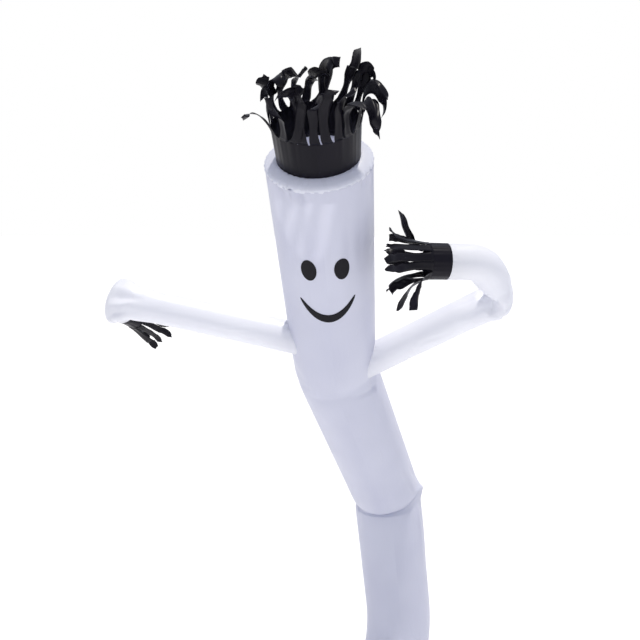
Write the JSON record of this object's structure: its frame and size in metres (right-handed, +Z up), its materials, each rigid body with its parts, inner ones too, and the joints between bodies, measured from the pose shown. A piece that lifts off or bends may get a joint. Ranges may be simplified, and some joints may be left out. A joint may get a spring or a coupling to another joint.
{
  "type": "inflatable air dancer",
  "caption": "Tall open nylon tube figure that a blower at its hem fills with air, leaning with a fold at its waist, with two arm sleeves and loose ribbons at its crown and wrists",
  "frame": {"origin": "on the floor under the middle of the whole figure's box; the hem's ring stands beside it, centred at x 0.235, y 0.169", "axes": "+Z up from the hem to the ribbons, -Y the way the face looks, +X to the right of a viewer in front"},
  "size_m": [1.4192, 1.3138, 3.3004],
  "materials": {
    "white_nylon": "semi-gloss ripstop",
    "crown_nylon": "semi-gloss ripstop",
    "black_nylon": "semi-gloss ripstop",
    "face_cloth": "matte"
  },
  "bodies": {
    "root": {"body_sleeve": "white_nylon", "crown_panel": "crown_nylon", "hair_collar": "black_nylon", "hair_fringe": "black_nylon", "left_arm_sleeve": "white_nylon", "right_arm_sleeve": "white_nylon", "left_cuff": "black_nylon", "right_cuff": "black_nylon", "left_hand_fringe": "black_nylon", "right_hand_fringe": "black_nylon", "left_eye_patch": "face_cloth", "right_eye_patch": "face_cloth", "mouth_patch": "face_cloth"}
  },
  "joints": []
}
